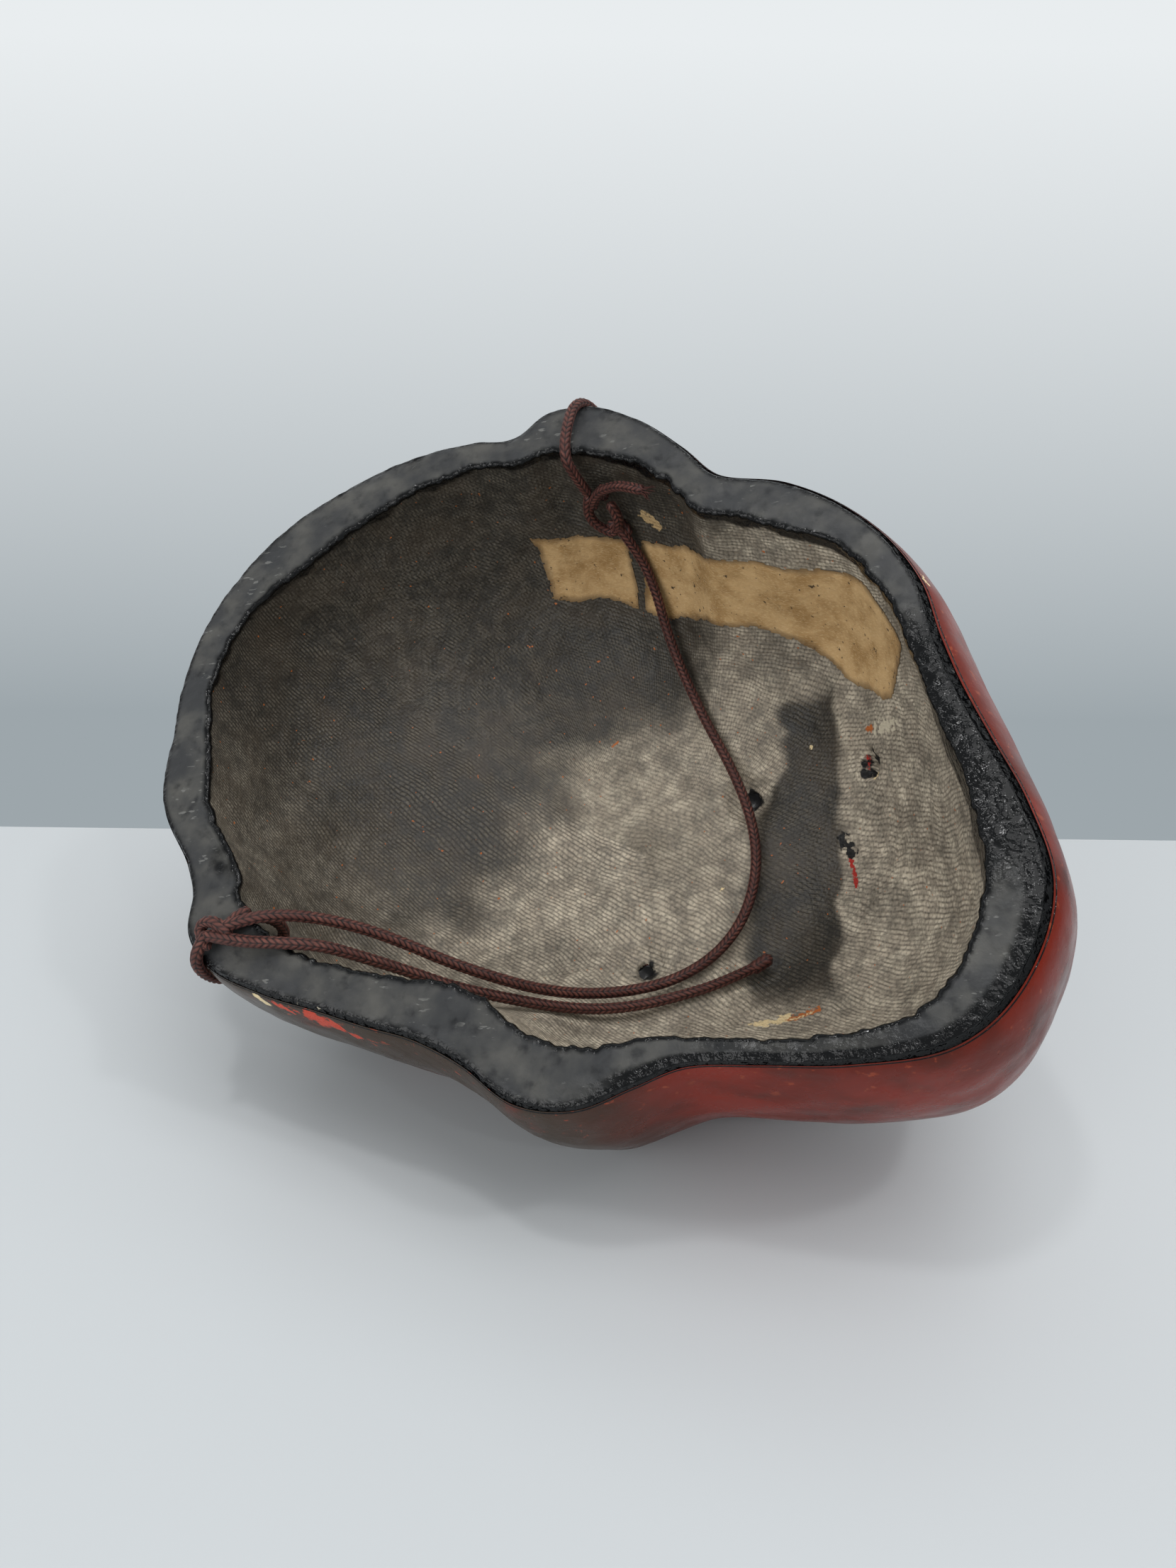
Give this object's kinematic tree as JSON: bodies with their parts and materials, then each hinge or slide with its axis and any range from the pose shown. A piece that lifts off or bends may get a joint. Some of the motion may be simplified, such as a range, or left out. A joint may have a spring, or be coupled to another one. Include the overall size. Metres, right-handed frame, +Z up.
{
  "type": "noh mask",
  "caption": "Carved wooden noh mask lying on its face, hollow side up, with black rim, cloth lining, blank paper labels and a tied braided cord.",
  "frame": {"origin": "on the surface the mask lies on, below the middle of the mask without its cord", "axes": "+X along the table towards the chin's right, +Y away from the viewer, +Z up; the mask lies tilted on its nose, one cheek and one temple with the hollow facing up and towards the viewer"},
  "size_m": [0.2078, 0.1814, 0.1579],
  "materials": {
    "red_lacquered_wood": "satin red lacquer over wood",
    "black_lacquer": "worn semi-gloss black lacquer",
    "lacquered_hemp": "dusty dark lacquer over hemp cloth",
    "gilt": "aged gilding",
    "washi": "matte brown paper",
    "cord": "matte braided cord"
  },
  "bodies": {
    "root": {"carved_shell": "red_lacquered_wood", "rim_lacquer": "black_lacquer", "hemp_lining": "lacquered_hemp", "eye_plate_left": "gilt", "eye_plate_right": "gilt", "paper_label_short": "washi", "paper_label_long": "washi", "cord_knot_left": "cord", "cord_knot_right": "cord", "cord_tip": "cord", "cord_run": "cord", "cord_tail": "cord", "cord_short_end": "cord", "cord_loop_left": "cord", "cord_loop_right": "cord"}
  },
  "joints": []
}
